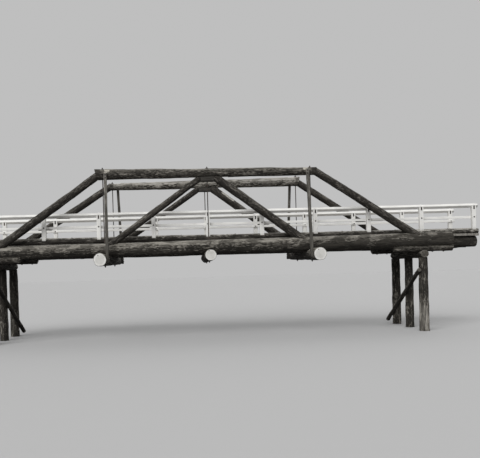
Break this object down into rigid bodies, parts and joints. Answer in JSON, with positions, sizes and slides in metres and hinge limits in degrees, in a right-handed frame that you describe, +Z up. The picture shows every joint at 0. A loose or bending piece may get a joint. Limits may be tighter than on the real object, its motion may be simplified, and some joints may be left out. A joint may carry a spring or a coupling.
{
  "type": "wooden footbridge",
  "caption": "Log truss footbridge with a plank deck hung on round cross girders, white post and rail fences, raking outrigger stays and pile piers.",
  "frame": {"origin": "centre of the bridge at the level of the pile feet, midway between the two trusses", "axes": "+X along the bridge towards the pier that shows on the right of the picture, +Y across it away from the viewer, +Z up"},
  "size_m": [19.8002, 5.8434, 6.0972],
  "materials": {
    "log": "round logs, weathered dark grey-brown with remains of bark",
    "dark_log": "round logs, darker, shaded and bark-covered",
    "sawn_timber": "hewn and sawn timber, weathered grey with darker stains",
    "planks": "worn grey deck planks",
    "iron": "dull dark wrought iron",
    "white_paint": "sawn timber painted white, slightly worn"
  },
  "bodies": {
    "root": {"near_lower_chord": "log", "far_lower_chord": "log", "near_top_chord": "log", "far_top_chord": "log", "left_cross_girder": "log", "middle_cross_girder": "log", "right_cross_girder": "log", "left_piles": "log", "right_piles": "log", "left_headstock": "log", "right_headstock": "log", "near_kerb": "log", "far_kerb": "log", "near_left_outer_strut": "dark_log", "near_right_outer_strut": "dark_log", "far_left_outer_strut": "dark_log", "far_right_outer_strut": "dark_log", "near_left_inner_strut": "dark_log", "near_right_inner_strut": "dark_log", "far_left_inner_strut": "dark_log", "far_right_inner_strut": "dark_log", "near_left_corbel": "dark_log", "near_right_corbel": "dark_log", "far_left_corbel": "dark_log", "far_right_corbel": "dark_log", "left_sway_brace": "dark_log", "right_sway_brace": "dark_log", "span_stringers": "dark_log", "left_approach_stringers": "dark_log", "right_approach_stringers": "dark_log", "straining_blocks": "sawn_timber", "near_left_stay": "sawn_timber", "near_right_stay": "sawn_timber", "far_left_stay": "sawn_timber", "far_right_stay": "sawn_timber", "deck_bearers": "sawn_timber", "span_deck": "planks", "left_approach_deck": "planks", "right_approach_deck": "planks", "tie_rods": "iron", "rod_plates": "iron", "near_posts": "white_paint", "far_posts": "white_paint", "near_top_rail": "white_paint", "far_top_rail": "white_paint", "near_middle_rail": "white_paint", "far_middle_rail": "white_paint"}
  },
  "joints": []
}
